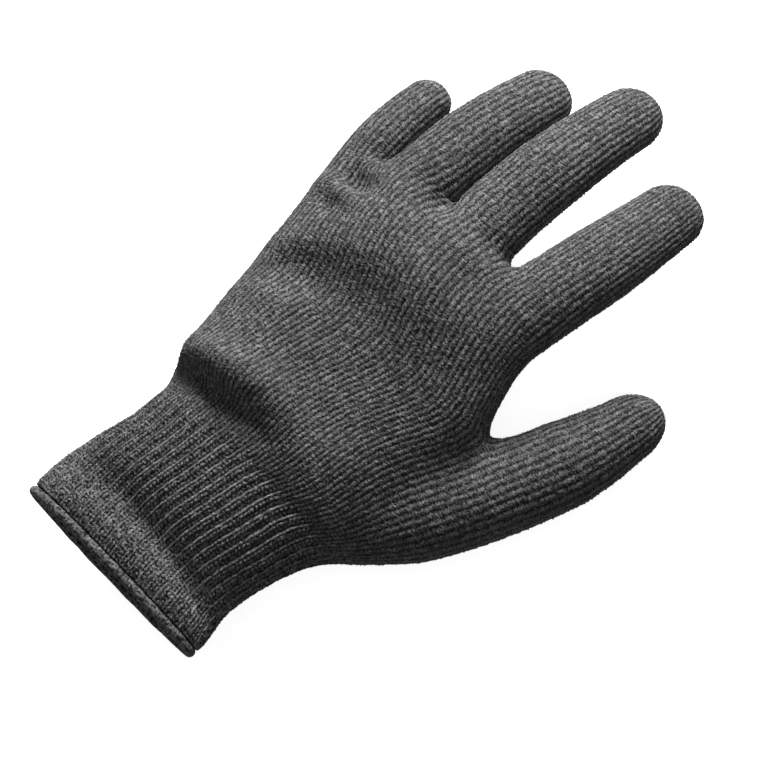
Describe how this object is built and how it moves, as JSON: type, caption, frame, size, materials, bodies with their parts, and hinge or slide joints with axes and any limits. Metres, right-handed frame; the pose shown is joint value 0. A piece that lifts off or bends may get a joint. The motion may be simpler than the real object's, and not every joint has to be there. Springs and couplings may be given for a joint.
{
  "type": "glove liner",
  "caption": "Hollow knitted glove liner with a ribbed cuff, a rolled hem, four fingers and a thumb, holding the form of a worn hand.",
  "frame": {"origin": "centre of the wrist opening, in the plane of the hem", "axes": "+Y from the wrist opening towards the fingertips, +X towards the thumb, +Z out of the back of the hand"},
  "size_m": [0.1479, 0.2488, 0.0497],
  "materials": {
    "cuff_edge": "matte knit",
    "rib_cuff": "matte knit",
    "hand_body": "matte knit",
    "little_finger": "matte knit",
    "ring_finger": "matte knit",
    "middle_finger": "matte knit",
    "index_finger": "matte knit",
    "thumb": "matte knit"
  },
  "bodies": {
    "root": {"cuff_edge": "cuff_edge", "rib_cuff": "rib_cuff", "hand_body": "hand_body", "little_finger": "little_finger", "ring_finger": "ring_finger", "middle_finger": "middle_finger", "index_finger": "index_finger", "thumb": "thumb"}
  },
  "joints": []
}
